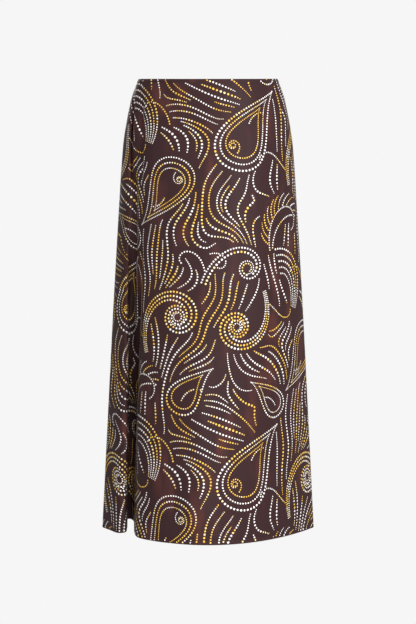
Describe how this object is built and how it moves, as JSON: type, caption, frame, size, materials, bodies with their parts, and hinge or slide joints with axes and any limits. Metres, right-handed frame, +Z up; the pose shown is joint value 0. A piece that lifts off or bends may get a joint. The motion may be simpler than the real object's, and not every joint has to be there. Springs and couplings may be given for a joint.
{
  "type": "pull-on skirt",
  "caption": "Long A-line pull-on skirt in printed satin, hollow as worn, with a narrow elastic casing at the waist, side seams and a deep fold that opens towards the hem.",
  "frame": {"origin": "centre of the waist opening, level with the top of the casing at the side seams", "axes": "+Z up the skirt, -Y towards the wearer's front, +X towards the wearer's left"},
  "size_m": [0.4155, 0.3396, 0.8856],
  "materials": {
    "printed_satin": "dark brown satin with a soft sheen and a print of cream and gold dots",
    "waist_casing": "the same satin, turned over narrow elastic"
  },
  "bodies": {
    "root": {"front_panel": "printed_satin", "back_panel": "printed_satin", "waist_casing": "waist_casing"}
  },
  "joints": []
}
